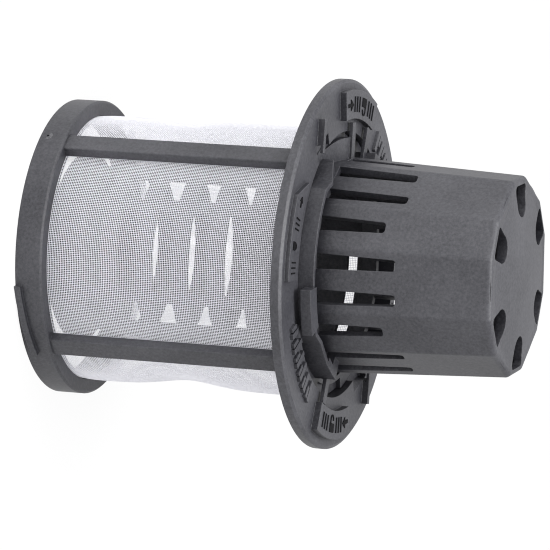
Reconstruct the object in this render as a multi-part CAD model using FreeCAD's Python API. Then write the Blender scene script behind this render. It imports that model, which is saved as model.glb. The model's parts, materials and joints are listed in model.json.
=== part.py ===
import FreeCAD, Part

import math
import os

V = FreeCAD.Vector
AXIS = V(0, 0, 1)
CENTRE = V(0, 0, 0)

# Two-stage dishwasher filter standing on its open base ring, handle up.
# All sizes are in mm. Angles are in degrees from the front (-Y) towards -X.

# Gauze sleeve, pinched between the base ring and the hub. Its radius drives all the others.
SLEEVE_R = 35.2
SLEEVE_WALL = 0.5
SLEEVE_FIT = 0.1
SLEEVE_INSERT = 1.2
GAUZE_ROWS = 10
GAUZE_COLUMNS_PER_PANEL = 3
GAUZE_BAR = 2.4
GAUZE_EDGE = 2.0
GAUZE_RIDGE_EVERY = 5
GAUZE_RIDGE_HEIGHT = 0.15
GAUZE_RIDGE_WIDTH = 0.8

# Upright ribs between the base ring and the flange.
RIB_COUNT = 4
RIB_FIRST = 45.0
RIB_WIDTH = 5.4
RIB_DEPTH = 2.75
RIB_SLEEVE_GAP = 0.15
RIB_EDGE = 0.35

# Base ring of the frame: a channel that is open underneath, with the sump seal's groove.
BASE_HEIGHT = 7.3
BASE_PAST_RIBS = 1.0
BASE_LIP = 1.1
BASE_OUTER_WALL = 2.0
BASE_INNER_WALL = 2.1
BASE_WEB = 2.3
BASE_EDGE = 0.5

# Ramped bayonet lugs on the base ring.
RAMP_COUNT = 2
RAMP_START = -17.0
RAMP_END = -47.0
RAMP_PROUD = 1.2
RAMP_THICK = 1.7
RAMP_START_Z = 0.0
RAMP_RISE = 1.9
RAMP_STEPS = 6

# Hub, bore and flange.
HUB_COVER = 1.4
HUB_BOTTOM_Z = 70.3
HUB_LEDGE_WIDTH = 1.3
HUB_LEDGE_THICK = 2.5
BORE_PAST_SLEEVE = 0.1
FLANGE_REACH = 12.4
FLANGE_UNDER_Z = 74.0
FLANGE_THICK = 2.8
FLANGE_BEVEL = 0.9
FLANGE_BEVEL_DROP = 0.6

# Raised plates and fins on the flange's upper face.
PLATE_RIM_GAP = 2.7
LOCK_BORE_GAP = 4.7
LOCK_START = 21.3
LOCK_END = -7.0
LOCK_POINT = 9.1
LOCK_PROUD = 1.2
RELEASE_BORE_GAP = 3.4
RELEASE_MIDDLE = -87.0
RELEASE_SPAN = 34.0
RELEASE_PROUD = 1.8
FIN_LENGTH = 8.8
FIN_THICK = 1.5
FIN_PROUD = 1.8
FIN_ANGLE = 50.9
FIN_BORE_GAP = 6.7

# Shallow pockets that widen the bore.
POCKET_WIDE_ANGLE = 61.0
POCKET_TIP_ANGLE = 46.0
POCKET_WIDE_DEPTH = 0.7
POCKET_TIP_DEPTH = 5.6
POCKET_SLOPE_WIDTH = 2.7
POCKET_SKIN = 1.0

# Collar round the foot of the handle: two wide lobes and a narrow waist, on a full web.
BORE_CLEARANCE = 0.3
LOBE_HALF_SPAN = 33.0
SHOULDER_DROP = 2.3
SHOULDER_ANGLE = 40.0
FLANK_DROP = 2.7
FLANK_ANGLE = 55.0
WAIST_DROP = 3.0
WAIST_ANGLE = 69.0
COLLAR_WALL = 1.3
COLLAR_TOP_Z = 80.9

# The wall's far end, which falls along the bore.
WALL_FALL_START = 40.0
WALL_END = 57.0
WALL_END_Z = 78.3

# Solid blocks between the collar and the handle, as (middle angle, span, top) groups.
COLLAR_BLOCKS = ((-63.5, 15.0, COLLAR_TOP_Z), (54.0, 6.0, WALL_END_Z))

# Flat tabs that reach from the handle over the bore's edge, as (angle, end radius) pairs.
TABS = ((-73.5, 38.3), (106.5, 38.3), (87.0, 37.6))
TAB_WIDTH = 2.4
TAB_THICK = 1.0
TAB_TOP_Z = 78.4

# Sloping step on the web beside the waist, and the hollows next to it.
STEP_START = 57.0
STEP_END = 85.0
STEP_RISE = 2.6
STEP_PARTS = 5
HOLLOWS = ((-110.0, -76.0), (90.5, 104.0))
HOLLOW_DEPTH = 1.4

# Finger lugs that stand out from the collar over the flange.
LUG_START = -11.0
LUG_END = -29.5
LUG_REACH = 3.7
LUG_TOP_Z = 81.4
LUG_FLANGE_GAP = 1.8

# Strainer handle: a tapering twelve-sided cup with wide and narrow facets by turns.
HANDLE_TOP_Z = 126.8
HANDLE_STEP = 3.15
HANDLE_DRAFT = 0.0453
HANDLE_WALL = 2.0
HANDLE_ROOF = 2.2
HANDLE_ROUND = 1.5
RIDGE_ROUND = 2.0
FACET_PAIRS = 6
WIDE_FACET_MIDDLE = -9.8
WIDE_FACET_SPAN = 35.4
HANDLE_WEB = 2.2
SEAT_GAP = 0.1

# Slots of the strainer handle.
SLOT_START_Z = 78.4
SLOT_BASE_WIDTH = 4.05
SLOT_END_WIDTH = 2.9
SLOT_LONG_END_Z = 100.1
SLOT_SHORT_END_Z = 96.2
SLOT_CORNER = 0.9
SLOT_FROM_MIDDLE = 9.1
SLOT_SHIFT = 1.5
SLOT_CUT_DEPTH = 8.0

# Domed end of the handle and its drain holes.
END_DOME = 1.2
DOME_RIM = 1.6
DOME_SINK = 0.3
HOLE_RIM = 2.25
HOLE_LENGTH = 8.5
HOLE_HALF_WIDTH = 4.7
HOLE_TIP_R = 3.8
HOLE_CORNER = 1.2

# Lower cone of the coarse filter and the plate that closes its foot.
# Its windows' widths are shares of its top radius.
CONE_SLOPE = 0.107
CONE_WALL = 1.5
FOOT_Z = 3.0
FOOT_THICK = 1.5
FOOT_REACH = 4.0
FOOT_EDGE = 0.4
CONE_SOCKET = 1.2
CONE_FIT = 0.1
WINDOW_ROWS = 5
WINDOW_FIRST_Z = 11.3
WINDOW_PITCH = 10.44
WINDOW_HEIGHT = 5.65
WINDOW_MIDDLE_SHARE = 0.371
WINDOW_SIDE_SHARE = 0.66
WINDOW_BAR = 2.9
TOP_GAP_Z = 69.7
TOP_GAP_HEIGHT = 3.1
TOP_GAP_START = -8.0
TOP_GAP_END = 45.0

# How deep joined pieces sink into each other, how far cutters reach past the faces they
# open, and the tolerance for picking edges by their place.
SINK = 0.2
OVERSHOOT = 1.0
PICK = 1e-6

RIB_INNER_R = SLEEVE_R + SLEEVE_WALL / 2 + GAUZE_RIDGE_HEIGHT + RIB_SLEEVE_GAP
RIB_OUTER_R = RIB_INNER_R + RIB_DEPTH
BASE_R = RIB_OUTER_R + BASE_PAST_RIBS
BASE_BORE_R = SLEEVE_R - BASE_LIP
HUB_R = SLEEVE_R + HUB_COVER
BORE_R = SLEEVE_R + BORE_PAST_SLEEVE
HUB_LEDGE_R = BORE_R - HUB_LEDGE_WIDTH
FLANGE_R = HUB_R + FLANGE_REACH
PLATE_OUTER_R = FLANGE_R - PLATE_RIM_GAP
LOBE_R = BORE_R - BORE_CLEARANCE
WAIST_R = LOBE_R - WAIST_DROP
HANDLE_FOOT_R = WAIST_R - HANDLE_STEP
HANDLE_ROOT_R = HANDLE_FOOT_R - HANDLE_WALL
CONE_TOP_R = HANDLE_FOOT_R

FLANGE_TOP_Z = FLANGE_UNDER_Z + FLANGE_THICK
LEDGE_TOP_Z = HUB_BOTTOM_Z + HUB_LEDGE_THICK
WEB_Z = LEDGE_TOP_Z + SEAT_GAP
WEB_TOP_Z = WEB_Z + HANDLE_WEB
RIM_TOP_Z = HANDLE_TOP_Z - END_DOME
CONE_TOP_Z = WEB_Z + CONE_SOCKET - SEAT_GAP
FOOT_TOP_Z = FOOT_Z + FOOT_THICK
SLEEVE_BOTTOM_Z = BASE_HEIGHT - SLEEVE_INSERT
SLEEVE_TOP_Z = HUB_BOTTOM_Z + SLEEVE_INSERT


def at(angle, radius, z=0.0):
    """The point at an angle from the front and a radius from the axis."""
    turn = math.radians(angle)
    return V(-radius * math.sin(turn), -radius * math.cos(turn), z)


def turned(shape, angle):
    """A copy of the shape turned round the axis, in the sense in which angles are counted."""
    copy = shape.copy()
    copy.rotate(CENTRE, AXIS, -angle)
    return copy


def joined(shapes):
    """One solid made of shapes that meet."""
    return shapes[0].multiFuse(shapes[1:]).removeSplitter() if len(shapes) > 1 else shapes[0]


def revolved(points):
    """The solid swept round the axis by a closed section of (radius, height) points."""
    corners = [V(r, 0, z) for r, z in points]
    face = Part.Face(Part.makePolygon(corners + corners[:1]))
    return face.revolve(CENTRE, AXIS, 360)


def tube(inner, outer, low, high):
    """A plain round tube."""
    return revolved([(inner, low), (outer, low), (outer, high), (inner, high)])


def arc_edge(radius, start, end, z):
    """An arc round the axis from one angle to another."""
    middle = at((start + end) / 2, radius, z)
    return Part.Arc(at(start, radius, z), middle, at(end, radius, z)).toShape()


def line_edge(a, b):
    """A straight edge."""
    return Part.LineSegment(a, b).toShape()


def prism(edges, height):
    """A closed outline raised along the axis."""
    return Part.Face(Part.Wire(edges)).extrude(V(0, 0, height))


def sector(inner, outer, start, end, low, high):
    """A curved block between two radii and two angles."""
    edges = [
        arc_edge(outer, start, end, low),
        line_edge(at(end, outer, low), at(end, inner, low)),
        arc_edge(inner, end, start, low),
        line_edge(at(start, inner, low), at(start, outer, low)),
    ]
    return prism(edges, high - low)


def box_between(low, high):
    """A block given by two opposite corners."""
    size = high - low
    return Part.makeBox(size.x, size.y, size.z, low)


def base_ring():
    """The base ring: outer wall, web, inner wall and the groove that holds the gauze."""
    inner_wall_r = BASE_BORE_R + BASE_INNER_WALL
    outer_wall_r = BASE_R - BASE_OUTER_WALL
    web_z = BASE_HEIGHT - BASE_WEB
    return revolved(
        [
            (BASE_BORE_R, 0),
            (inner_wall_r, 0),
            (inner_wall_r, web_z),
            (outer_wall_r, web_z),
            (outer_wall_r, 0),
            (BASE_R, 0),
            (BASE_R, BASE_HEIGHT - BASE_EDGE),
            (BASE_R - BASE_EDGE, BASE_HEIGHT),
            (BASE_BORE_R, BASE_HEIGHT),
        ]
    )


def sleeve_groove(low, high):
    """The groove that takes one edge of the gauze sleeve."""
    half = SLEEVE_WALL / 2 + SLEEVE_FIT
    return tube(SLEEVE_R - half, SLEEVE_R + half, low, high)


def climbing_block(inner, outer, angles, lows, highs, parts):
    """A curved block whose lower and upper faces climb evenly from one angle to another."""
    sections = []
    for i in range(parts + 1):
        share = i / parts
        angle = angles[0] + (angles[1] - angles[0]) * share
        low = lows[0] + (lows[1] - lows[0]) * share
        high = highs[0] + (highs[1] - highs[0]) * share
        corners = [
            at(angle, inner, low),
            at(angle, outer, low),
            at(angle, outer, high),
            at(angle, inner, high),
        ]
        sections.append(Part.makePolygon(corners + corners[:1]))
    return Part.makeLoft(sections, True, True)


def ramp_lug():
    """A bayonet lug whose height above the base climbs along the ring."""
    inner = BASE_R - BASE_OUTER_WALL / 2
    lows = (RAMP_START_Z, RAMP_START_Z + RAMP_RISE)
    highs = (lows[0] + RAMP_THICK, lows[1] + RAMP_THICK)
    return climbing_block(inner, BASE_R + RAMP_PROUD, (RAMP_START, RAMP_END), lows, highs, RAMP_STEPS)


def is_upright_at(edge, y):
    """Whether an edge stands upright at a given Y."""
    ends = [v.Point for v in edge.Vertexes]
    return all(abs(p.y - y) < PICK for p in ends) and abs(ends[0].z - ends[-1].z) > PICK


def rib(angle):
    """An upright rib with flat sides, from the base ring to the flange."""
    low = BASE_HEIGHT - BASE_WEB
    high = FLANGE_UNDER_Z + SINK
    block = box_between(V(-RIB_WIDTH / 2, -RIB_OUTER_R, low), V(RIB_WIDTH / 2, -RIB_INNER_R, high))
    outer_edges = [e for e in block.Edges if is_upright_at(e, -RIB_OUTER_R)]
    return turned(block.makeFillet(RIB_EDGE, outer_edges), angle)


def flange_and_hub():
    """The flange, its bore, and the hub with the ledge that the strainer rests on."""
    return revolved(
        [
            (HUB_LEDGE_R, HUB_BOTTOM_Z),
            (HUB_R, HUB_BOTTOM_Z),
            (HUB_R, FLANGE_UNDER_Z),
            (FLANGE_R, FLANGE_UNDER_Z),
            (FLANGE_R, FLANGE_TOP_Z - FLANGE_BEVEL_DROP),
            (FLANGE_R - FLANGE_BEVEL, FLANGE_TOP_Z),
            (BORE_R, FLANGE_TOP_Z),
            (BORE_R, LEDGE_TOP_Z),
            (HUB_LEDGE_R, LEDGE_TOP_Z),
        ]
    )


def lock_plate():
    """A raised arc with a pointed end, which marks the locked position."""
    z = FLANGE_TOP_Z - SINK
    inner = BORE_R + LOCK_BORE_GAP
    edges = [
        arc_edge(PLATE_OUTER_R, LOCK_START, LOCK_END, z),
        line_edge(at(LOCK_END, PLATE_OUTER_R, z), at(LOCK_END, inner, z)),
        arc_edge(inner, LOCK_END, LOCK_START + LOCK_POINT, z),
        line_edge(at(LOCK_START + LOCK_POINT, inner, z), at(LOCK_START, PLATE_OUTER_R, z)),
    ]
    return prism(edges, LOCK_PROUD + SINK)


def release_plate():
    """A raised fan-shaped plate, which marks the released position."""
    start = RELEASE_MIDDLE - RELEASE_SPAN / 2
    end = RELEASE_MIDDLE + RELEASE_SPAN / 2
    low = FLANGE_TOP_Z - SINK
    return sector(BORE_R + RELEASE_BORE_GAP, PLATE_OUTER_R, start, end, low, FLANGE_TOP_Z + RELEASE_PROUD)


def fin():
    """A short straight fin beside the bore."""
    middle = at(FIN_ANGLE, BORE_R + FIN_BORE_GAP, FLANGE_TOP_Z)
    low = middle - V(FIN_LENGTH / 2, FIN_THICK / 2, SINK)
    return box_between(low, middle + V(FIN_LENGTH / 2, FIN_THICK / 2, FIN_PROUD))


def filter_frame():
    """The moulded frame: base ring, ribs, hub, flange and what stands on it."""
    pieces = [base_ring(), flange_and_hub()]
    pieces += [rib(RIB_FIRST + 360.0 / RIB_COUNT * i) for i in range(RIB_COUNT)]
    pieces += [turned(ramp_lug(), 360.0 / RAMP_COUNT * i) for i in range(RAMP_COUNT)]
    for half_turn in (0.0, 180.0):
        pieces += [turned(piece, half_turn) for piece in (lock_plate(), release_plate(), fin())]
    whole = joined(pieces)
    grooves = [
        sleeve_groove(SLEEVE_BOTTOM_Z - SLEEVE_FIT, BASE_HEIGHT + OVERSHOOT),
        sleeve_groove(HUB_BOTTOM_Z - OVERSHOOT, SLEEVE_TOP_Z + SLEEVE_FIT),
    ]
    pockets = [turned(bore_pocket(), half_turn) for half_turn in (0.0, 180.0)]
    return whole.cut(grooves + pockets)


def bore_pocket():
    """The cutter for a shallow pocket that widens the bore, with a sloping outer wall."""
    floor_z = FLANGE_UNDER_Z + POCKET_SKIN
    high = FLANGE_TOP_Z + OVERSHOOT
    stretch = (high - floor_z) / (FLANGE_TOP_Z - floor_z)
    inner = HUB_LEDGE_R + HUB_LEDGE_WIDTH / 2
    wide = BORE_R + POCKET_WIDE_DEPTH
    tip = BORE_R + POCKET_TIP_DEPTH
    sections = []
    for z, share in ((floor_z, 0.0), (high, stretch)):
        corners = [
            at(POCKET_WIDE_ANGLE, inner, z),
            at(POCKET_WIDE_ANGLE, wide + POCKET_SLOPE_WIDTH * share, z),
            at(POCKET_TIP_ANGLE, tip, z),
            at(POCKET_TIP_ANGLE, inner, z),
        ]
        sections.append(Part.makePolygon(corners + corners[:1]))
    return Part.makeLoft(sections, True, True)


def mesh_sleeve():
    """The gauze sleeve: a thin wall with hoop ridges and a grid of gaps between the ribs."""
    inner = SLEEVE_R - SLEEVE_WALL / 2
    outer = SLEEVE_R + SLEEVE_WALL / 2
    low = BASE_HEIGHT + GAUZE_EDGE
    high = HUB_BOTTOM_Z - GAUZE_EDGE
    row = (high - low) / GAUZE_ROWS
    wall = tube(inner, outer, SLEEVE_BOTTOM_Z, SLEEVE_TOP_Z)
    hoops = []
    for i in range(GAUZE_RIDGE_EVERY, GAUZE_ROWS, GAUZE_RIDGE_EVERY):
        middle = low + row * i
        half = GAUZE_RIDGE_WIDTH / 2
        hoops.append(tube(SLEEVE_R, outer + GAUZE_RIDGE_HEIGHT, middle - half, middle + half))
    wall = joined([wall] + hoops)
    return wall.cut(gauze_gaps(low, row))


def gauze_gaps(low, row):
    """The cutters for every gap of the gauze, panel by panel."""
    bar_angle = math.degrees(GAUZE_BAR / SLEEVE_R)
    rib_angle = math.degrees(RIB_WIDTH / SLEEVE_R)
    panel = 360.0 / RIB_COUNT - rib_angle
    column = panel / GAUZE_COLUMNS_PER_PANEL
    within = SLEEVE_R - OVERSHOOT
    beyond = SLEEVE_R + OVERSHOOT
    gaps = []
    for p in range(RIB_COUNT):
        start = RIB_FIRST + 360.0 / RIB_COUNT * p + rib_angle / 2
        for c in range(GAUZE_COLUMNS_PER_PANEL):
            first = start + column * c + bar_angle / 2
            last = start + column * (c + 1) - bar_angle / 2
            for r in range(GAUZE_ROWS):
                bottom = low + row * r + GAUZE_BAR / 2
                top = low + row * (r + 1) - GAUZE_BAR / 2
                gaps.append(sector(within, beyond, first, last, bottom, top))
    return gaps


def ridge_radius(z):
    """The handle's radius at its ridges, which shrinks towards its end."""
    return HANDLE_FOOT_R - HANDLE_DRAFT * (z - WEB_Z)


def facet_corners(z, inset):
    """The twelve corners of the handle's outline at a height, moved inwards by an inset."""
    radius = ridge_radius(z) - inset / math.cos(math.radians(360.0 / FACET_PAIRS / 4))
    corners = []
    for pair in range(FACET_PAIRS):
        middle = WIDE_FACET_MIDDLE + 360.0 / FACET_PAIRS * pair
        corners.append(at(middle - WIDE_FACET_SPAN / 2, radius, z))
        corners.append(at(middle + WIDE_FACET_SPAN / 2, radius, z))
    return corners


def facet_cup(low, high, inset):
    """The solid inside the handle's outline between two heights, with flat facets."""
    below = facet_corners(low, inset)
    above = facet_corners(high, inset)
    faces = [Part.Face(Part.makePolygon(ring + ring[:1])) for ring in (below, above)]
    count = len(below)
    for i in range(count):
        j = (i + 1) % count
        faces.append(Part.Face(Part.makePolygon([below[i], below[j], above[j], above[i], below[i]])))
    return Part.makeSolid(Part.makeShell(faces))


def rounded_cup():
    """The handle's outer form, with its ridges softened and its end edge rounded."""
    cup = facet_cup(WEB_Z, RIM_TOP_Z, 0.0)
    ridges = [e for e in cup.Edges if abs(e.Vertexes[0].Z - e.Vertexes[-1].Z) > HANDLE_ROUND]
    cup = cup.makeFillet(RIDGE_ROUND, ridges)
    rim = [e for e in cup.Edges if all(abs(v.Z - RIM_TOP_Z) < PICK for v in e.Vertexes)]
    return cup.makeFillet(HANDLE_ROUND, rim)


def dome(radius, low, crown_z):
    """A shallow round dome of a given foot radius, crown height and flat underside."""
    rise = crown_z - low
    ball_r = (radius * radius + rise * rise) / (2 * rise)
    ball = Part.makeSphere(ball_r, V(0, 0, crown_z - ball_r))
    return ball.common(Part.makeCylinder(radius + OVERSHOOT, rise + OVERSHOOT, V(0, 0, low)))


def slot(angle, end_z):
    """The cutter for one slot: parallel to the radius, narrower and rounded at its end."""
    reach = ridge_radius(SLOT_START_Z) + OVERSHOOT
    base = SLOT_BASE_WIDTH / 2
    tip = SLOT_END_WIDTH / 2
    corners = [
        V(-base, -reach, SLOT_START_Z),
        V(base, -reach, SLOT_START_Z),
        V(tip, -reach, end_z),
        V(-tip, -reach, end_z),
    ]
    face = Part.Face(Part.makePolygon(corners + corners[:1]))
    block = face.extrude(V(0, SLOT_CUT_DEPTH, 0))
    ends = [e for e in block.Edges if all(abs(v.Z - end_z) < PICK for v in e.Vertexes)]
    along = [e for e in ends if abs(e.Vertexes[0].Y - e.Vertexes[1].Y) > PICK]
    return turned(block.makeFillet(SLOT_CORNER, along), angle)


def slots():
    """Two long slots in each wide facet and one short slot in each narrow facet."""
    cutters = []
    for pair in range(FACET_PAIRS):
        middle = WIDE_FACET_MIDDLE + 360.0 / FACET_PAIRS * pair
        cutters.append(slot(middle - SLOT_FROM_MIDDLE, SLOT_LONG_END_Z))
        cutters.append(slot(middle + SLOT_FROM_MIDDLE + SLOT_SHIFT, SLOT_LONG_END_Z))
        cutters.append(slot(middle + 180.0 / FACET_PAIRS + SLOT_SHIFT, SLOT_SHORT_END_Z))
    return cutters


def drain_hole(angle):
    """The cutter for a drain hole: straight at the rim, with a round tip towards the axis."""
    low = RIM_TOP_Z - HANDLE_ROOF - OVERSHOOT
    high = HANDLE_TOP_Z + OVERSHOOT
    outer_r = ridge_radius(RIM_TOP_Z) - HOLE_RIM
    tip_r = outer_r - HOLE_LENGTH + HOLE_TIP_R
    tip = Part.makeCylinder(HOLE_TIP_R, high - low, V(0, -tip_r, low))
    corners = [
        V(-HOLE_TIP_R, -tip_r, low),
        V(HOLE_TIP_R, -tip_r, low),
        V(HOLE_HALF_WIDTH, -outer_r, low),
        V(-HOLE_HALF_WIDTH, -outer_r, low),
    ]
    wedge = Part.Face(Part.makePolygon(corners + corners[:1])).extrude(V(0, 0, high - low))
    outer = [e for e in wedge.Edges if is_upright_at(e, -outer_r)]
    wedge = wedge.makeFillet(HOLE_CORNER, outer)
    return turned(joined([wedge, tip]), angle)


def collar_edges(inset, z):
    """The collar's outline: two wide lobes, their flanks, and a narrow waist."""
    edges = []
    for half_turn in (0.0, 180.0):
        lobe = LOBE_R - inset
        side = [
            (LOBE_HALF_SPAN, lobe),
            (SHOULDER_ANGLE, lobe - SHOULDER_DROP),
            (FLANK_ANGLE, lobe - FLANK_DROP),
            (WAIST_ANGLE, WAIST_R - inset),
        ]
        edges.append(arc_edge(lobe, half_turn - LOBE_HALF_SPAN, half_turn + LOBE_HALF_SPAN, z))
        points = [at(half_turn + a, r, z) for a, r in side]
        edges += [line_edge(a, b) for a, b in zip(points, points[1:])]
        edges.append(arc_edge(WAIST_R - inset, half_turn + WAIST_ANGLE, half_turn + 180 - WAIST_ANGLE, z))
        points = [at(half_turn + 180 - a, r, z) for a, r in reversed(side)]
        edges += [line_edge(a, b) for a, b in zip(points, points[1:])]
    return edges


def collar():
    """The collar wall on the two lobes, open at the waist."""
    height = COLLAR_TOP_Z - WEB_Z
    inside = prism(collar_edges(COLLAR_WALL, WEB_Z), height)
    wall = prism(collar_edges(0.0, WEB_Z), height).cut(inside)
    within = WAIST_R - COLLAR_WALL - OVERSHOOT
    beyond = LOBE_R + OVERSHOOT
    waist = sector(within, beyond, WALL_END, 180 - WAIST_ANGLE, WEB_TOP_Z, COLLAR_TOP_Z)
    high = COLLAR_TOP_Z + OVERSHOOT
    angles = (WALL_FALL_START, WALL_END)
    fall = climbing_block(within, beyond, angles, (COLLAR_TOP_Z, WALL_END_Z), (high, high), STEP_PARTS)
    return wall.cut([waist, turned(waist, 180), fall, turned(fall, 180)])


def collar_blocks():
    """Solid blocks that close the ends of the collar's wall towards the handle."""
    pieces = []
    for middle, span, top in COLLAR_BLOCKS:
        start = middle - span / 2
        block = sector(HANDLE_ROOT_R, WAIST_R, start, start + span, WEB_TOP_Z - SINK, top)
        pieces += [block, turned(block, 180)]
    return pieces


def tab(angle, outer):
    """A flat tab along a radius, a little over the flange."""
    low = V(-TAB_WIDTH / 2, -outer, TAB_TOP_Z - TAB_THICK)
    high = V(TAB_WIDTH / 2, -HANDLE_ROOT_R, TAB_TOP_Z)
    return turned(box_between(low, high), angle)


def web_step():
    """A step on the web whose top climbs along the bore."""
    outer = LOBE_R - COLLAR_WALL
    low = WEB_TOP_Z - SINK
    highs = (WEB_TOP_Z, WEB_TOP_Z + STEP_RISE)
    return climbing_block(HANDLE_ROOT_R, outer, (STEP_START, STEP_END), (low, low), highs, STEP_PARTS)


def hollow(start, end):
    """The cutter for a hollow in the web's upper face, between the handle and the bore."""
    low = WEB_TOP_Z - HOLLOW_DEPTH
    return sector(HANDLE_FOOT_R + SINK, LOBE_R + OVERSHOOT, start, end, low, FLANGE_TOP_Z)


def finger_lug():
    """A block on the collar to turn it by."""
    low = FLANGE_TOP_Z + LUG_FLANGE_GAP
    return sector(LOBE_R - COLLAR_WALL, LOBE_R + LUG_REACH, LUG_START, LUG_END, low, LUG_TOP_Z)


def strainer_handle():
    """The slotted cup with its domed end, web, collar, tabs and lugs."""
    web = Part.makeCylinder(LOBE_R, HANDLE_WEB, V(0, 0, WEB_Z))
    web = web.cut([hollow(start, end) for start, end in HOLLOWS])
    tabs = [tab(angle, outer) for angle, outer in TABS]
    lugs = [turned(finger_lug(), half_turn) for half_turn in (0.0, 180.0)]
    crown = dome(ridge_radius(RIM_TOP_Z) - DOME_RIM, RIM_TOP_Z - DOME_SINK, HANDLE_TOP_Z)
    outside = [rounded_cup(), crown, web, web_step(), collar()]
    body = joined(outside + collar_blocks() + tabs + lugs)
    low = WEB_Z - OVERSHOOT
    cavity = facet_cup(low, RIM_TOP_Z - HANDLE_ROOF, HANDLE_WALL)
    socket_r = cone_radius(CONE_TOP_Z) + CONE_FIT
    socket = Part.makeCylinder(socket_r, CONE_SOCKET + OVERSHOOT, V(0, 0, low))
    step = 360.0 / FACET_PAIRS
    holes = [drain_hole(WIDE_FACET_MIDDLE + step / 2 + step * i) for i in range(FACET_PAIRS)]
    return body.cut([cavity, socket] + slots() + holes)


def cone_radius(z):
    """The outer radius of the lower cone at a height."""
    return CONE_TOP_R - CONE_SLOPE * (CONE_TOP_Z - z)


def window_row(z):
    """The cutters for one row of windows, which pass straight through front and back."""
    reach = CONE_TOP_R + OVERSHOOT
    half = CONE_TOP_R * WINDOW_MIDDLE_SHARE
    side = half + WINDOW_BAR
    side_end = CONE_TOP_R * WINDOW_SIDE_SHARE
    spans = [(-half, half), (side, side_end), (-side_end, -side)]
    return [box_between(V(a, -reach, z), V(b, reach, z + WINDOW_HEIGHT)) for a, b in spans]


def top_gap():
    """The cutter for a long low gap under the handle, on one side of the cone."""
    inner = cone_radius(TOP_GAP_Z) - CONE_WALL - OVERSHOOT
    outer = CONE_TOP_R + OVERSHOOT
    high = TOP_GAP_Z + TOP_GAP_HEIGHT
    return sector(inner, outer, TOP_GAP_START, TOP_GAP_END, TOP_GAP_Z, high)


def strainer_cone():
    """The lower cone: a thin tapered wall with rows of windows on a plate with a free rim."""
    foot_r = cone_radius(FOOT_TOP_Z)
    high_r = cone_radius(CONE_TOP_Z)
    rim_r = foot_r + FOOT_REACH
    wall = revolved(
        [
            (0, FOOT_Z),
            (rim_r - FOOT_EDGE, FOOT_Z),
            (rim_r, FOOT_Z + FOOT_EDGE),
            (rim_r, FOOT_TOP_Z),
            (foot_r, FOOT_TOP_Z),
            (high_r, CONE_TOP_Z),
            (high_r - CONE_WALL, CONE_TOP_Z),
            (foot_r - CONE_WALL, FOOT_TOP_Z),
            (0, FOOT_TOP_Z),
        ]
    )
    cutters = [top_gap(), turned(top_gap(), 180)]
    for i in range(WINDOW_ROWS):
        cutters += window_row(WINDOW_FIRST_Z + WINDOW_PITCH * i)
    return wall.cut(cutters)


def main():
    """Builds every piece and writes it to its own file."""
    os.makedirs("parts", exist_ok=True)
    pieces = {
        "filter_frame": filter_frame(),
        "mesh_sleeve": mesh_sleeve(),
        "strainer_handle": strainer_handle(),
        "strainer_cone": strainer_cone(),
    }
    for name, shape in pieces.items():
        print(name, "valid", shape.isValid(), "solids", len(shape.Solids), "volume", round(shape.Volume, 1))
        shape.exportStep("parts/" + name + ".step")


main()
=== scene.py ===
"""Looks of the two-stage dishwasher filter, and the photo's view.

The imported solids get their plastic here, and woven panels replace the plain sleeve. The signs on
the flange and the gate marks on the base ring are added as low pieces of their own.
"""

from __future__ import annotations

import json
import logging
import math
from dataclasses import dataclass, field
from enum import Enum
from typing import Union

import bmesh
import bpy
import numpy as np
from mathutils import Matrix, Vector

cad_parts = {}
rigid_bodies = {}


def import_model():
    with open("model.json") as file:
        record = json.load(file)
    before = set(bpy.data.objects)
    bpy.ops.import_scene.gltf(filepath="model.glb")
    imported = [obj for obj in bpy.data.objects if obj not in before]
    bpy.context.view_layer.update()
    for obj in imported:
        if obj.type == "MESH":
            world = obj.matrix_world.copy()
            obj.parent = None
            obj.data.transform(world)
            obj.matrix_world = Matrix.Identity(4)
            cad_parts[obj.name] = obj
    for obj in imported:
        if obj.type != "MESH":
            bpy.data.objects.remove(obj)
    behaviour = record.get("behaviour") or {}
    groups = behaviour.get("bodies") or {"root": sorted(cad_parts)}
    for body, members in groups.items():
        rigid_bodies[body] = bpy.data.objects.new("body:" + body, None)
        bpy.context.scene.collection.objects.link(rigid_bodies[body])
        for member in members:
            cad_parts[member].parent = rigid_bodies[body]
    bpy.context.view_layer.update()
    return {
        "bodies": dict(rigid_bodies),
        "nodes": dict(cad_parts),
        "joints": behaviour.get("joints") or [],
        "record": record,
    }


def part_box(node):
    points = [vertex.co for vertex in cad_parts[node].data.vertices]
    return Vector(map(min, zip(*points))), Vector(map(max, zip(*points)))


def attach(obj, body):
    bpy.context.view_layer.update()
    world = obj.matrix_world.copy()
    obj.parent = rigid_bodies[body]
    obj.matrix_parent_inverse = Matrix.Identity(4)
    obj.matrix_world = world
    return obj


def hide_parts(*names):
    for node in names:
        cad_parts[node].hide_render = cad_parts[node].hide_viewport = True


LOG = logging.getLogger("filter")
MM = 0.001
FULL_TURN = 2.0 * math.pi

# Points nearer than this, in metres, become one
MERGE = 1e-7

# Radii and heights of the solids that carry the scene's own pieces, in mm
SLEEVE_R = 35.2
BASE_R = 39.5
FLANGE_TOP_Z = 76.8
LOCK_TOP_Z = 78.0
RELEASE_TOP_Z = 78.6

# Samples of the nodes that round the edges and find the recesses
EDGE_SAMPLES = 6
RECESS_SAMPLES = 8

# Width of the render's pixel filter, in pixels
PIXEL_FILTER = 1.1

# Rays that see a plain white background
SEEN_RAYS = ("Is Camera Ray", "Is Glossy Ray", "Is Transmission Ray")

Array = np.ndarray
Colour = tuple[float, float, float]
Number = Union[int, float]
Term = Union["Channel", Number]


class ThreadWay(Enum):
    """Which way a thread of the gauze runs."""

    UPRIGHT = "upright"
    HOOP = "hoop"


# Meshes


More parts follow.
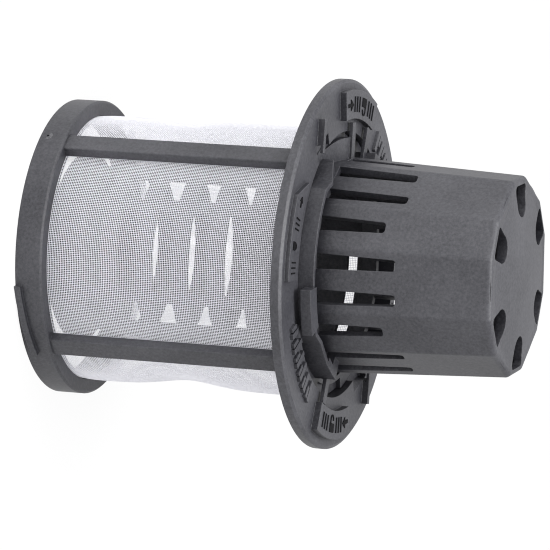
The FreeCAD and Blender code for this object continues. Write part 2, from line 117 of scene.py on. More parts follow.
def polar(angle: Array, radius: Array, z: Array) -> Array:
    """Points from the filter's own angles, which run from the front (-Y) towards -X.

    Args:
        angle: Angles in degrees.
        radius: Distances from the axis, in mm.
        z: Heights above the base ring's lower face, in mm.

    Returns:
        An array of points in metres, with x, y and z along its last axis.
    """
    turn = np.radians(angle)
    parts = np.broadcast_arrays(-radius * np.sin(turn), -radius * np.cos(turn), z)
    return np.stack(parts, axis=-1) * MM


@dataclass
class Patchwork:
    """Collects grids of points as quads, and makes one mesh object of them."""

    points: list[Array] = field(default_factory=list)
    quads: list[Array] = field(default_factory=list)
    count: int = 0

    def grid(self, surface: Array, closed: bool = False) -> None:
        """Adds a surface given on a grid of two parameters.

        A quad joins each point to its next neighbours along u and v.

        Args:
            surface: Points of shape (u, v, 3).
            closed: Whether the last v column meets the first.
        """
        rows, columns = surface.shape[:2]
        index = np.arange(rows * columns).reshape(rows, columns) + self.count
        if closed:
            index = np.concatenate([index, index[:, :1]], axis=1)
        corners = [index[:-1, :-1], index[1:, :-1], index[1:, 1:], index[:-1, 1:]]
        self.quads.append(np.stack(corners, axis=-1).reshape(-1, 4))
        self.points.append(surface.reshape(-1, 3))
        self.count += rows * columns

    def tubes(self, lines: Array, across: Array, out: Array, radius: float, sides: int) -> None:
        """Adds a batch of tubes.

        Each point of a centre line carries a ring: the radius times the cosine along across, plus
        the radius times the sine along out, for equal steps of the angle. The ends are closed by
        the ring's last points drawn to the centre.

        Args:
            lines: Centre lines of shape (tube, step, 3).
            across: Unit vectors across the tubes, of the same shape.
            out: Unit vectors away from the axis, of the same shape.
            radius: The tubes' radius, in metres.
            sides: How many points a ring has.
        """
        turn = np.arange(sides) * FULL_TURN / sides
        ring = (
            across[:, :, None, :] * (radius * np.cos(turn))[None, None, :, None]
            + out[:, :, None, :] * (radius * np.sin(turn))[None, None, :, None]
        )
        body = lines[:, :, None, :] + ring
        start = np.repeat(lines[:, :1, None, :], sides, axis=2)
        end = np.repeat(lines[:, -1:, None, :], sides, axis=2)
        body = np.concatenate([start, body, end], axis=1)
        tubes, steps = body.shape[:2]
        index = np.arange(tubes * steps * sides).reshape(tubes, steps, sides) + self.count
        index = np.concatenate([index, index[:, :, :1]], axis=2)
        corners = [index[:, :-1, :-1], index[:, :-1, 1:], index[:, 1:, 1:], index[:, 1:, :-1]]
        self.quads.append(np.stack(corners, axis=-1).reshape(-1, 4))
        self.points.append(body.reshape(-1, 3))
        self.count += tubes * steps * sides

    def piece(
        self, name: str, material: bpy.types.Material, smooth: bool = True
    ) -> bpy.types.Object:
        """Makes the mesh object, with doubled points merged and its faces turned outwards.

        Args:
            name: The object's name.
            material: Its material.
            smooth: Whether its faces are shaded smooth.

        Returns:
            The new object, which is at the origin.
        """
        points = np.concatenate(self.points).astype(np.float32)
        quads = np.concatenate(self.quads).astype(np.int32)
        mesh = bpy.data.meshes.new(name)
        mesh.vertices.add(len(points))
        mesh.vertices.foreach_set("co", points.ravel())
        mesh.loops.add(quads.size)
        mesh.loops.foreach_set("vertex_index", quads.ravel())
        mesh.polygons.add(len(quads))
        mesh.polygons.foreach_set("loop_start", np.arange(0, quads.size, 4, dtype=np.int32))
        mesh.update(calc_edges=True)
        shell = bmesh.new()
        shell.from_mesh(mesh)
        bmesh.ops.remove_doubles(shell, verts=shell.verts, dist=MERGE)
        bmesh.ops.recalc_face_normals(shell, faces=shell.faces)
        shell.to_mesh(mesh)
        shell.free()
        mesh.polygons.foreach_set("use_smooth", np.full(len(mesh.polygons), smooth))
        mesh.materials.append(material)
        made = bpy.data.objects.new(name, mesh)
        bpy.context.scene.collection.objects.link(made)
        return made

    def block(self, angles: Array, radii: Array, low: float, high: float) -> None:
        """Adds a raised strip that follows a path over the flange.

        The path's two edges are given as rows of angles and radii. The section at each step is a
        rectangle from the low to the high height, and both ends are closed.

        Args:
            angles: Angles of shape (2, steps), one row for each edge, in degrees.
            radii: Radii of the same shape, in mm.
            low: Height of the strip's underside, in mm.
            high: Height of its upper face, in mm.
        """
        near = [polar(angles[0], radii[0], low), polar(angles[0], radii[0], high)]
        far = [polar(angles[1], radii[1], high), polar(angles[1], radii[1], low)]
        ring = np.stack(near + far, axis=1)
        ends = [np.broadcast_to(ring[i].mean(axis=0), (1, 4, 3)) for i in (0, -1)]
        self.grid(np.concatenate([ends[0], ring, ends[1]], axis=0), closed=True)


# Materials


@dataclass(frozen=True)
class Channel:
    """A number in shader maths. An expression on channels adds its Math nodes."""

    tree: bpy.types.NodeTree
    socket: bpy.types.NodeSocket

    def _math(self, operation: str, first: Term, second: Term) -> Channel:
        """Adds one Math node.

        Args:
            operation: The node's operation.
            first: Its first value.
            second: Its second value.

        Returns:
            The node's result.
        """
        node = self.tree.nodes.new("ShaderNodeMath")
        node.operation = operation
        for socket, value in zip(node.inputs, (first, second)):
            if isinstance(value, Channel):
                self.tree.links.new(value.socket, socket)
            else:
                socket.default_value = value
        return Channel(self.tree, node.outputs[0])

    def __add__(self, other: Term) -> Channel:
        """The sum."""
        return self._math("ADD", self, other)

    def __radd__(self, other: Number) -> Channel:
        """The sum, with the number first."""
        return self._math("ADD", other, self)

    def __sub__(self, other: Term) -> Channel:
        """The difference."""
        return self._math("SUBTRACT", self, other)

    def __rsub__(self, other: Number) -> Channel:
        """The difference, with the number first."""
        return self._math("SUBTRACT", other, self)

    def __mul__(self, other: Term) -> Channel:
        """The product."""
        return self._math("MULTIPLY", self, other)

    def __rmul__(self, other: Number) -> Channel:
        """The product, with the number first."""
        return self._math("MULTIPLY", other, self)


class NodeBench:
    """Builds the nodes of a material or a world."""

    def __init__(self, owner: Union[bpy.types.Material, bpy.types.World]) -> None:
        """Starts with an empty tree.

        Args:
            owner: What the nodes belong to.
        """
        owner.use_nodes = True
        self.tree = owner.node_tree
        self.tree.nodes.clear()

    def node(
        self, kind: str, settings: dict[str, object], inputs: dict[Union[str, int], object]
    ) -> bpy.types.Node:
        """Adds a node of any type.

        Args:
            kind: The node's type.
            settings: Its own settings, which are set first.
            inputs: A value, a channel or a socket for each input, by the input's name or number.

        Returns:
            The new node.
        """
        made = self.tree.nodes.new(kind)
        for key, value in settings.items():
            setattr(made, key, value)
        for key, value in inputs.items():
            socket = made.inputs[key]
            if isinstance(value, Channel):
                self.tree.links.new(value.socket, socket)
            elif isinstance(value, bpy.types.NodeSocket):
                self.tree.links.new(value, socket)
            else:
                socket.default_value = value
        return made

    def seen(self) -> Channel:
        """Tells rays from the eye, and mirrored or refracted ones, from all others.

        Returns:
            One on those rays, and nothing on the others.
        """
        path = self.node("ShaderNodeLightPath", {}, {})
        camera, glossy, through = (Channel(self.tree, path.outputs[key]) for key in SEEN_RAYS)
        return camera + glossy + through


class FinishBench(NodeBench):
    """Builds one material's nodes."""

    def __init__(self, name: str) -> None:
        """Starts an empty material.

        Args:
            name: The material's name.
        """
        self.material = bpy.data.materials.new(name)
        super().__init__(self.material)

    def place(self) -> bpy.types.NodeSocket:
        """Gives the point's place on the object.

        Returns:
            The socket of the place, in metres.
        """
        return self.node("ShaderNodeTexCoord", {}, {}).outputs["Object"]

    def edge(self, rounded: bpy.types.NodeSocket) -> Channel:
        """How far a rounded normal turns away from the face's own: one less their dot product.

        Args:
            rounded: The rounded normal.

        Returns:
            The turn, from nothing on a flat face to about a third on a square edge.
        """
        flat = self.node("ShaderNodeNewGeometry", {}, {}).outputs["Normal"]
        settings = {"operation": "DOT_PRODUCT"}
        dot = self.node("ShaderNodeVectorMath", settings, {0: rounded, 1: flat})
        return 1.0 - Channel(self.tree, dot.outputs["Value"])

    def recess(self, reach: float) -> Channel:
        """How much the piece's own walls close a point in; the plastic is darkened by it as
        painted shade.

        Args:
            reach: How far off a wall still counts, in metres.

        Returns:
            The share, from nothing on an open face to about one half beside a wall.
        """
        settings = {"samples": RECESS_SAMPLES, "only_local": True}
        node = self.node("ShaderNodeAmbientOcclusion", settings, {"Distance": reach})
        return 1.0 - Channel(self.tree, node.outputs["AO"])

    def noise(self, scale: float, detail: float, roughness: float = 0.5) -> Channel:
        """Cloudy noise from nothing to one.

        Args:
            scale: How many features there are to a metre.
            detail: How many finer layers it has.
            roughness: How strong the finer layers are.

        Returns:
            The noise.
        """
        inputs = {"Vector": self.place(), "Scale": scale, "Detail": detail, "Roughness": roughness}
        return Channel(self.tree, self.node("ShaderNodeTexNoise", {}, inputs).outputs["Fac"])

    def blend(self, share: Channel, first: Colour, second: Colour) -> bpy.types.NodeSocket:
        """A colour between two others.

        Args:
            share: How much of the second colour there is.
            first: The first colour.
            second: The second colour.

        Returns:
            The mixed colour's socket.
        """
        inputs = {0: share, 6: (*first, 1.0), 7: (*second, 1.0)}
        return self.node("ShaderNodeMix", {"data_type": "RGBA"}, inputs).outputs[2]

    def close(self, shader: bpy.types.Node) -> bpy.types.Material:
        """Joins the last shader to the material's output.

        Args:
            shader: The node whose first output is shown.

        Returns:
            The finished material.
        """
        settings = {"is_active_output": True}
        self.node("ShaderNodeOutputMaterial", settings, {"Surface": shader.outputs[0]})
        return self.material


@dataclass(frozen=True)
class MouldedPlastic:
    """Dark grey moulded plastic: a fine grain, a painted highlight along the edges and painted
    shade in the corners.

    The scales count features to a metre, and the depths, radii and reaches are in metres.
    """

    name: str
    low: Colour = (0.014, 0.014, 0.019)
    high: Colour = (0.076, 0.076, 0.086)
    roughness: float = 0.5
    roughness_spread: float = 0.12
    cloud_scale: float = 60.0
    cloud_detail: float = 3.0
    cloud_share: float = 0.9
    speckle_scale: float = 1300.0
    speckle_detail: float = 3.0
    speckle_roughness: float = 0.7
    speckle_share: float = 1.4
    ground: float = 0.65
    grain_scale: float = 2600.0
    grain_detail: float = 2.0
    grain_depth: float = 0.00002
    grain_strength: float = 0.35
    # The edge radius rounds the shading normal, and with the gain it sets the painted highlight
    # along the edges; the recess reach and share set the painted shade in the corners.
    edge_radius: float = 0.0003
    edge_highlight_gain: float = 1.8
    recess_reach: float = 0.01
    corner_shade_share: float = 0.9

    def material(self) -> bpy.types.Material:
        """Builds the material.

        Returns:
            The material.
        """
        bench = FinishBench(self.name)
        cloud = bench.noise(self.cloud_scale, self.cloud_detail)
        speckle = bench.noise(self.speckle_scale, self.speckle_detail, self.speckle_roughness)
        grain = bench.noise(self.grain_scale, self.grain_detail)
        mottle = cloud * self.cloud_share + speckle * self.speckle_share - self.ground
        rounded = bench.node(
            "ShaderNodeBevel", {"samples": EDGE_SAMPLES}, {"Radius": self.edge_radius}
        ).outputs[0]
        bump = {
            "Height": grain,
            "Distance": self.grain_depth,
            "Strength": self.grain_strength,
            "Normal": rounded,
        }
        # Painted highlight: the colour is lightened on every edge, convex and concave alike, by
        # how far the rounded normal turns.
        painted_highlight = bench.edge(rounded) * self.edge_highlight_gain
        # Painted shade: the colour is darkened where the piece's own walls close a point in.
        shaded = bench.recess(self.recess_reach) * self.corner_shade_share
        rough_low = self.roughness - self.roughness_spread / 2
        inputs = {
            "Base Color": bench.blend(mottle + painted_highlight - shaded, self.low, self.high),
            "Roughness": rough_low + cloud * self.roughness_spread,
            "Normal": bench.node("ShaderNodeBump", {}, bump).outputs[0],
        }
        return bench.close(bench.node("ShaderNodeBsdfPrincipled", {}, inputs))


@dataclass(frozen=True)
class SignShade:
    """A near-black finish of painted shade: it stands for the shadow in the engraved signs on the
    flange and at the gate marks' pips.
    """

    name: str = "sign_painted_shade"
    colour: Colour = (0.006, 0.006, 0.007)
    roughness: float = 0.75
    shine: float = 0.08

    def material(self) -> bpy.types.Material:
        """Builds the material.

        Returns:
            The material.
        """
        bench = FinishBench(self.name)
        inputs = {
            "Base Color": (*self.colour, 1.0),
            "Roughness": self.roughness,
            "Specular IOR Level": self.shine,
        }
        return bench.close(bench.node("ShaderNodeBsdfPrincipled", {}, inputs))


@dataclass(frozen=True)
class GauzeThread:
    """White translucent monofilament, with a faint painted glow: the threads give off a little
    light of their own.
    """

    name: str = "gauze_thread"
    colour: Colour = (0.94, 0.94, 0.97)
    roughness: float = 0.4
    through: float = 0.5
    glow: float = 0.25

    def material(self) -> bpy.types.Material:
        """Builds the material.

        Returns:
            The material.
        """
        bench = FinishBench(self.name)
        colour = (*self.colour, 1.0)
        skin_inputs = {
            "Base Color": colour,
            "Roughness": self.roughness,
            "Emission Color": colour,
            # Painted glow: the threads emit light though they are no lamp.
            "Emission Strength": self.glow,
        }
        skin = bench.node("ShaderNodeBsdfPrincipled", {}, skin_inputs)
        core = bench.node("ShaderNodeBsdfTranslucent", {}, {"Color": colour})
        inputs = {0: self.through, 1: skin.outputs[0], 2: core.outputs[0]}
        return bench.close(bench.node("ShaderNodeMixShader", {}, inputs))


@dataclass(frozen=True)
class PaleFloor:
    """A white floor that still takes the object's shadow."""

    name: str = "pale_floor"
    colour: Colour = (0.9, 0.9, 0.9)
    glow_share: float = 0.94

    def material(self) -> bpy.types.Material:
        """Builds the material: white to the eye and in mirrors, and a plain floor to the light.

        Returns:
            The material.
        """
        bench = FinishBench(self.name)
        plain = bench.node("ShaderNodeBsdfDiffuse", {}, {"Color": (*self.colour, 1.0)})
        white = {"Color": (1.0, 1.0, 1.0, 1.0), "Strength": 1.0}
        glow = bench.node("ShaderNodeEmission", {}, white)
        inputs = {0: bench.seen() * self.glow_share, 1: plain.outputs[0], 2: glow.outputs[0]}
        return bench.close(bench.node("ShaderNodeMixShader", {}, inputs))


# The gauze


@dataclass
class GauzeSleeve:
    """The woven sleeve, as four panels of upright and hoop threads that bulge between the ribs.

    Lengths are in mm and angles in degrees. A panel's dip is its depth, height and half width.
    """

    radius: float
    low: float
    high: float
    pitch: float = 0.48
    thread: float = 0.165
    panels: int = 4
    first_rib: float = 45.0
    sides: int = 3
    swell: float = 0.35
    fade: float = 6.0
    lift_share: float = 0.12
    dips: tuple[tuple[float, float, float], ...] = (
        (0.95, 31.5, 8.0),
        (0.35, 40.0, 12.0),
        (1.9, 37.0, 10.5),
        (0.5, 45.0, 14.0),
    )

    def surface_radius(self, panel: int, share: Array, z: Array) -> Array:
        """The sleeve's radius.

        The round sleeve swells by a fixed amount and dips by a bell curve of the height. Both fade
        towards the ribs with the squared sine of the share, and towards the ends with a ramp.

        Args:
            panel: The panel's number.
            share: How far across the panel the point lies, from nothing to one.
            z: Its height, in mm.

        Returns:
            The radii, in mm.
        """
        depth, middle, width = self.dips[panel]
        across = np.sin(np.pi * share) ** 2
        to_end = np.minimum(z - self.low, self.high - z)
        end = np.clip(to_end / self.fade, 0.0, 1.0)
        bell = np.exp(-(((z - middle) / width) ** 2))
        return self.radius + (self.swell - depth * bell) * across * np.sin(end * np.pi / 2)

    def points(self, panel: int, share: Array, z: Array, lift: Array) -> Array:
        """Points on a panel, lifted off its middle surface.

        Args:
            panel: The panel's number.
            share: How far across the panel the points lie.
            z: Their heights, in mm.
            lift: Their lifts, in mm.

        Returns:
            Points in metres.
        """
        angle = self.first_rib + 360.0 / self.panels * (panel + share)
        return polar(angle, self.surface_radius(panel, share, z) + lift, z)

    def threads(self, panel: int, way: ThreadWay) -> tuple[Array, Array, Array]:
        """The centre lines of a panel's threads in one direction, with their two cross directions.

        A thread passes over and under the crossing ones by turns, so its lift is plus or minus a
        share of its thickness, by the parity of the two threads' numbers.

        Args:
            panel: The panel's number.
            way: Which way the threads run.

        Returns:
            Lines, directions across and directions outwards, each of shape (thread, step, 3).
        """
        width = math.radians(360.0 / self.panels) * self.radius
        uprights = round(width / self.pitch)
        hoops = round((self.high - self.low) / self.pitch)
        share = (np.arange(uprights) + 0.5) / uprights
        z = self.low + (np.arange(hoops) + 0.5) * (self.high - self.low) / hoops
        if way is ThreadWay.UPRIGHT:
            shares, heights = np.meshgrid(share, z, indexing="ij")
        else:
            heights, shares = np.meshgrid(z, share, indexing="ij")
        parity = np.indices(shares.shape).sum(axis=0) % 2 * 2 - 1
        if way is ThreadWay.HOOP:
            parity = -parity
        lines = self.points(panel, shares, heights, parity * self.thread * self.lift_share)
        along = np.gradient(lines, axis=1)
        along /= np.linalg.norm(along, axis=-1, keepdims=True)
        outward = lines * np.array([1.0, 1.0, 0.0])
        outward /= np.linalg.norm(outward, axis=-1, keepdims=True)
        across = np.cross(outward, along)
        across /= np.linalg.norm(across, axis=-1, keepdims=True)
        return lines, across, np.cross(along, across)

    def build(self, material: bpy.types.Material) -> list[bpy.types.Object]:
        """Builds the four panels.

        Args:
            material: The threads' material.

        Returns:
            The panels.
        """
        made = []
        for panel in range(self.panels):
            work = Patchwork()
            for way in ThreadWay:
                lines, across, out = self.threads(panel, way)
                work.tubes(lines, across, out, self.thread / 2 * MM, self.sides)
            made.append(work.piece(f"gauze_panel_{panel + 1}", material))
        return made


# The signs


class Sign(Enum):
    """What a sign on the flange shows."""

    OPEN_LOCK = "open_lock"
    CLOSED_LOCK = "closed_lock"
    ARROW = "arrow"
    BARS = "bars"
    TALLY = "tally"


@dataclass(frozen=True)
class SignSizes:
    """The signs' sizes in mm, before a sign's own scale. A span is a low and a high v."""

    bar_middles: tuple[float, ...] = (-2.2, 0.0, 2.2)
    bar_half: float = 0.32
    bar_span: tuple[float, float] = (-2.4, 2.2)
    stroke_middles: tuple[float, ...] = (-10.5, -6.3, -2.1, 2.1, 6.3, 10.5)
    stroke_half: float = 0.7
    stroke_span: tuple[float, float] = (-3.0, 3.0)
    foot_from: float = 1.2
    foot_to: float = 2.2
    foot_span: tuple[float, float] = (-3.0, 0.4)
    arrow_half: float = 2.4
    arrow_width: float = 3.4
    arrow_shaft: float = 0.16
    arrow_head: float = 0.7
    lock_half: float = 1.8
    lock_span: tuple[float, float] = (-2.4, 0.3)
    shackle_v: float = 0.4
    shackle_radius: float = 1.2
    shackle_thick: float = 0.55
    shackle_leg: float = 0.3
    open_lift: float = 1.0


@dataclass
class Signwriter:
    """Draws flat signs on the flange out of thin strips.

    A sign has its own plane: u runs along the flange's arc, in the sense of the angles, and v runs
    towards the axis. A strip is given by two edges, as rows of u and v.
    """

    middle_angle: float
    middle_radius: float
    face_z: float
    proud: float
    scale: float
    sizes: SignSizes = SignSizes()
    sink: float = 0.1
    bar_steps: int = 5
    steps: int = 17

    def strip(self, work: Patchwork, u: Array, v: Array) -> None:
        """Adds one strip.

        Args:
            work: What collects the strips.
            u: Places along the arc, of shape (2, steps), in mm.
            v: Places towards the axis, of the same shape, in mm.
        """
        radii = self.middle_radius - v * self.scale
        angles = self.middle_angle + np.degrees(u * self.scale / self.middle_radius)
        work.block(angles, radii, self.face_z - self.sink, self.face_z + self.proud)

    def bar(self, work: Patchwork, u: tuple[float, float], v: tuple[float, float]) -> None:
        """Adds a straight block.

        Args:
            work: What collects the strips.
            u: Its two ends along the arc.
            v: Its two ends towards the axis.
        """
        along = np.linspace(u[0], u[1], self.bar_steps)
        edges = [np.full(self.bar_steps, end) for end in v]
        self.strip(work, np.stack([along, along]), np.stack(edges))

    def shackle(self, work: Patchwork, lift: float) -> None:
        """Adds a padlock's shackle: a leg, half a ring and the other leg.

        Args:
            work: What collects the strips.
            lift: How far the shackle is drawn out. One leg follows it, and the other stays in.
        """
        sizes = self.sizes
        turn = np.linspace(0.0, math.pi, self.steps)
        middle = sizes.shackle_v + lift
        edges_u, edges_v = [], []
        for side in (-0.5, 0.5):
            radius = sizes.shackle_radius + side * sizes.shackle_thick
            u, v = radius * np.cos(turn), middle + radius * np.sin(turn)
            ends = (v[:1] - sizes.shackle_leg - lift, v[-1:] - sizes.shackle_leg)
            edges_u.append(np.concatenate([u[:1], u, u[-1:]]))
            edges_v.append(np.concatenate([ends[0], v, ends[1]]))
        self.strip(work, np.stack(edges_u), np.stack(edges_v))

    def arrow(self, work: Patchwork) -> None:
        """Adds an arrow that points the way the angles run.

        Args:
            work: What collects the strips.
        """
        sizes = self.sizes
        tail, tip = -sizes.arrow_half, sizes.arrow_half
        neck = tip - sizes.arrow_width * sizes.arrow_head
        shaft = sizes.arrow_shaft
        along = np.array([tail, (tail + neck) / 2, neck, neck, tip])
        half = np.array([shaft, shaft, shaft, 0.5, 0.0]) * sizes.arrow_width
        self.strip(work, np.stack([along, along]), np.stack([-half, half]))

    def draw(self, work: Patchwork, sign: Sign) -> None:
        """Adds one whole sign.

        Args:
            work: What collects the strips.
            sign: Which sign it is.
        """
        sizes = self.sizes
        if sign is Sign.TALLY:
            for middle in sizes.stroke_middles:
                stroke = (middle - sizes.stroke_half, middle + sizes.stroke_half)
                foot = (middle + sizes.foot_from, middle + sizes.foot_to)
                self.bar(work, stroke, sizes.stroke_span)
                self.bar(work, foot, sizes.foot_span)
        elif sign is Sign.BARS:
            for middle in sizes.bar_middles:
                bar = (middle - sizes.bar_half, middle + sizes.bar_half)
                self.bar(work, bar, sizes.bar_span)
        elif sign is Sign.ARROW:
            self.arrow(work)
        else:
            self.bar(work, (-sizes.lock_half, sizes.lock_half), sizes.lock_span)
            self.shackle(work, sizes.open_lift if sign is Sign.OPEN_LOCK else 0.0)


# The studio


@dataclass
class PhotoCamera:
    """The camera that took the photograph, found from the outlines of the rings and the handle.

    The target, the distance and the sensor's width are in mm, the tilt and the roll in degrees,
    the focal length and the image's width in pixels, and the near and far limits in metres.
    """

    target: tuple[float, float, float] = (4.04, 0.0, 58.53)
    distance: float = 1165.19
    tilt: float = 18.88
    roll: float = -4.068
    focal: float = 4386.0
    image: float = 550.0
    sensor: float = 36.0
    nearest: float = 0.05
    farthest: float = 20.0

    def build(self) -> bpy.types.Object:
        """Makes the camera and gives it to the scene.

        Returns:
            The camera.
        """
        tilt, roll = math.radians(self.tilt), math.radians(self.roll)
        back = Vector((0.0, -math.cos(tilt), math.sin(tilt)))
        level = Vector((1.0, 0.0, 0.0))
        upright = Vector((0.0, math.sin(tilt), math.cos(tilt)))
        right = upright * math.cos(roll) + level * math.sin(roll)
        data = bpy.data.cameras.new("photo_camera")
        data.sensor_width = self.sensor
        data.lens = self.focal * self.sensor / self.image
        data.clip_start = self.nearest
        data.clip_end = self.farthest
        camera = bpy.data.objects.new("photo_camera", data)
        bpy.context.scene.collection.objects.link(camera)
        columns = Matrix((right, right.cross(-back), back)).transposed()
        place = (Vector(self.target) + back * self.distance) * MM
        camera.matrix_world = Matrix.Translation(place) @ columns.to_4x4()
        bpy.context.scene.camera = camera
        return camera


@dataclass
class SoftLight:
    """A large square lamp that faces the object, placed in metres, with its power in watts."""

    name: str
    place: tuple[float, float, float]
    size: float
    power: float

    def build(self, aim: Vector) -> bpy.types.Object:
        """Makes the lamp.

        Args:
            aim: The point it faces, in metres.

        Returns:
            The lamp.
        """
        data = bpy.data.lights.new(self.name, "AREA")
        data.size = self.size
        data.energy = self.power
        lamp = bpy.data.objects.new(self.name, data)
        bpy.context.scene.collection.objects.link(lamp)
        lamp.location = self.place
        lamp.rotation_mode = "QUATERNION"
        lamp.rotation_quaternion = (Vector(self.place) - aim).to_track_quat("Z", "Y")
        return lamp


@dataclass
class Studio:
    """The floor, the sky and the lamps."""

    floor_half: float = 4.0
    sky: float = 0.64
    aim: tuple[float, float, float] = (0.0, 0.0, 0.06)
    lamps: tuple[SoftLight, ...] = (
        SoftLight("top_softbox", (-0.9, -0.45, 0.3), 0.8, 7.0),
        SoftLight("end_softbox", (-0.1, -0.2, 1.2), 0.7, 17.0),
        SoftLight("front_softbox", (-0.1, -1.2, 0.25), 0.8, 3.0),
    )

    def build(self) -> None:
        """Makes the floor, the sky and the lamps."""
        floor = Patchwork()
        ends = (-self.floor_half, self.floor_half)
        floor.grid(np.array([[(x, y, 0.0) for y in ends] for x in ends]))
        floor.piece("floor", PaleFloor().material(), smooth=False)
        for lamp in self.lamps:
            lamp.build(Vector(self.aim))
        self.sky_world()

    def sky_world(self) -> None:
        """Makes the world: white to the eye, and a plain soft light to the object."""
        world = bpy.data.worlds.new("studio_sky")
        bench = NodeBench(world)
        strength = self.sky + bench.seen() * (1.0 - self.sky)
        background = bench.node("ShaderNodeBackground", {}, {"Strength": strength})
        bench.node("ShaderNodeOutputWorld", {}, {"Surface": background.outputs[0]})
        bpy.context.scene.world = world


# The part


@dataclass(frozen=True)
class FlangeSign:
    """Where one sign stands, in degrees and mm. It is repeated half a turn further on."""

    sign: Sign
    angle: float
    radius: float
    face_z: float
    proud: float = 0.2
    scale: float = 1.0


@dataclass(frozen=True)
class GateMark:
    """The scar where plastic entered the mould, drawn flat: a dark pip of painted shade, half
    ringed by a lighter crescent of painted highlight.

    The pip and the crescent are given by their inner and outer radius, in mm, and the crescent's
    ends by angles in radians.
    """

    angle: float
    z: float
    radius: float = BASE_R
    pip: tuple[float, float] = (0.0, 0.3)
    crescent: tuple[float, float] = (0.5, 1.3)
    highlight_from: float = 0.5
    highlight_to: float = 3.4
    proud: float = 0.02
    sink: float = 0.1
    steps: int = 25

    def patch(
        self, work: Patchwork, reach: tuple[float, float], start: float, stop: float
    ) -> None:
        """Adds a low flat patch, which is a ring or a part of one.

        Args:
            work: What collects the patches.
            reach: The ring's inner and outer radius, in mm.
            start: Where it starts, in radians, from the way the angles run and towards +Z.
            stop: Where it ends.
        """
        turn = np.linspace(start, stop, self.steps)
        near, far = reach
        section = ((near, -self.sink), (near, self.proud), (far, self.proud), (far, -self.sink))
        rows = []
        for distance, lift in section:
            angle = self.angle + np.degrees(distance * np.cos(turn) / self.radius)
            rows.append(polar(angle, self.radius + lift, self.z + distance * np.sin(turn)))
        work.grid(np.stack(rows))


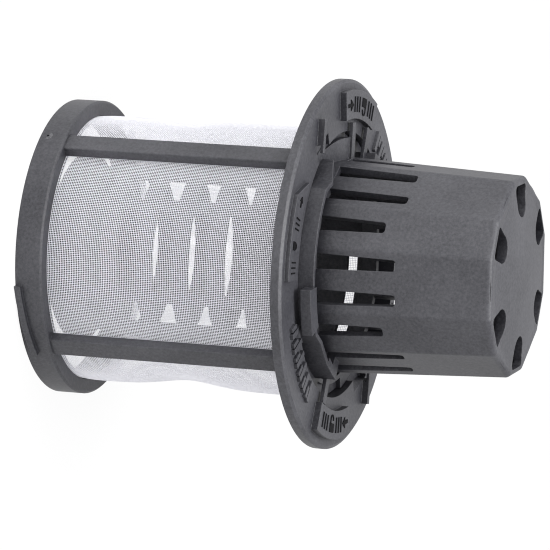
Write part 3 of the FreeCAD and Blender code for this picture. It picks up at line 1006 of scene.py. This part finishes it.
class DishwasherFilter:
    """The whole filter: it dresses the solids and adds what the solids leave to the looks."""

    # The dark signs are painted shade: flat near-black pieces that stand for engraved marks in
    # shadow.
    dark_signs: tuple[FlangeSign, ...] = (
        FlangeSign(Sign.BARS, -76.6, 42.4, RELEASE_TOP_Z, scale=0.9),
        FlangeSign(Sign.OPEN_LOCK, -84.4, 42.4, RELEASE_TOP_Z, scale=0.9),
        FlangeSign(Sign.BARS, -92.2, 42.4, RELEASE_TOP_Z, scale=0.9),
        FlangeSign(Sign.ARROW, -99.4, 42.4, RELEASE_TOP_Z, scale=0.9),
        FlangeSign(Sign.BARS, -2.6, 43.1, LOCK_TOP_Z, scale=0.62),
        FlangeSign(Sign.CLOSED_LOCK, 4.8, 43.1, LOCK_TOP_Z, scale=0.62),
        FlangeSign(Sign.BARS, 12.4, 43.1, LOCK_TOP_Z, scale=0.62),
        FlangeSign(Sign.ARROW, 20.4, 43.1, LOCK_TOP_Z, scale=0.62),
    )
    raised_signs: tuple[FlangeSign, ...] = (
        FlangeSign(Sign.TALLY, -42.5, 39.8, FLANGE_TOP_Z, proud=0.9),
    )
    gate_marks: tuple[GateMark, ...] = (GateMark(46.0, 2.0), GateMark(226.0, 2.0))

    def __init__(self, frame: dict[str, object]) -> None:
        """Keeps the frame and makes the finishes.
        """
        self.nodes: dict[str, bpy.types.Object] = frame["nodes"]
        self.frame_plastic = MouldedPlastic("frame_plastic").material()
        self.strainer_plastic = MouldedPlastic("strainer_plastic").material()
        self.thread = GauzeThread().material()
        # A lighter plastic that paints the highlight on the crescent beside each gate mark's pip.
        highlight_finish = MouldedPlastic("highlight_plastic", low=(0.04, 0.04, 0.046), high=(0.15, 0.15, 0.16))
        self.highlight_plastic = highlight_finish.material()
        self.painted_shade_finish = SignShade().material()

    def dress_solids(self) -> None:
        """Gives each solid its finish."""
        finishes = {
            "filter_frame": self.frame_plastic,
            "mesh_sleeve": self.thread,
            "strainer_handle": self.strainer_plastic,
            "strainer_cone": self.strainer_plastic,
        }
        for name, finish in finishes.items():
            mesh = self.nodes[name].data
            mesh.materials.clear()
            mesh.materials.append(finish)

    def weave_gauze(self) -> None:
        """Replaces the plain sleeve with woven panels."""
        low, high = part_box("mesh_sleeve")
        sleeve = GauzeSleeve(radius=SLEEVE_R, low=low[2] / MM, high=high[2] / MM)
        for piece in sleeve.build(self.thread):
            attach(piece, "micro_filter")
            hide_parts("mesh_sleeve")
            LOG.info("%s: %d faces", piece.name, len(piece.data.polygons))

    def write_signs(self) -> None:
        """Adds the signs on the flange and its plates."""
        groups = (
            # The dark signs take the near-black finish of painted shade; the tally is raised in
            # the frame's plastic.
            ("flange_signs", self.dark_signs, self.painted_shade_finish),
            ("flange_tally", self.raised_signs, self.frame_plastic),
        )
        for name, signs, finish in groups:
            work = Patchwork()
            for half_turn in (0.0, 180.0):
                for item in signs:
                    angle = item.angle + half_turn
                    writer = Signwriter(angle, item.radius, item.face_z, item.proud, item.scale)
                    writer.draw(work, item.sign)
            self.keep_on_frame(work.piece(name, finish, smooth=False))

    def mark_gates(self) -> None:
        """Adds the gate marks on the base ring: a pip of painted shade and a crescent of painted
        highlight.
        """
        pips, highlight_patch = Patchwork(), Patchwork()
        for mark in self.gate_marks:
            mark.patch(pips, mark.pip, 0.0, FULL_TURN)
            # The crescent is a painted highlight in the lighter plastic.
            mark.patch(highlight_patch, mark.crescent, mark.highlight_from, mark.highlight_to)
        self.keep_on_frame(pips.piece("gate_pips", self.painted_shade_finish, smooth=False))
        self.keep_on_frame(highlight_patch.piece("gate_highlight", self.highlight_plastic, smooth=False))

    @staticmethod
    def keep_on_frame(piece: bpy.types.Object) -> None:
        """Lets a small piece of the flange or the base ring move with the frame.

        Args:
            piece: The piece.
        """
        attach(piece, "micro_filter")
        LOG.info("%s: %d faces", piece.name, len(piece.data.polygons))


def main() -> None:
    """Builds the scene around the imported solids, and reports its pieces.

    The denoiser's own prefilter is off and the pixel filter is narrow, so that the gauze's threads
    stay sharp at the photo's size.
    """
    logging.basicConfig(level=logging.INFO, format="%(name)s: %(message)s")
    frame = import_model()
    scene = bpy.context.scene
    scene.view_settings.view_transform = "Standard"
    scene.cycles.denoising_prefilter = "NONE"
    scene.cycles.filter_width = PIXEL_FILTER
    part = DishwasherFilter(frame)
    part.dress_solids()
    part.weave_gauze()
    part.write_signs()
    part.mark_gates()
    Studio().build()
    PhotoCamera().build()


if __name__ == "__main__":
    main()
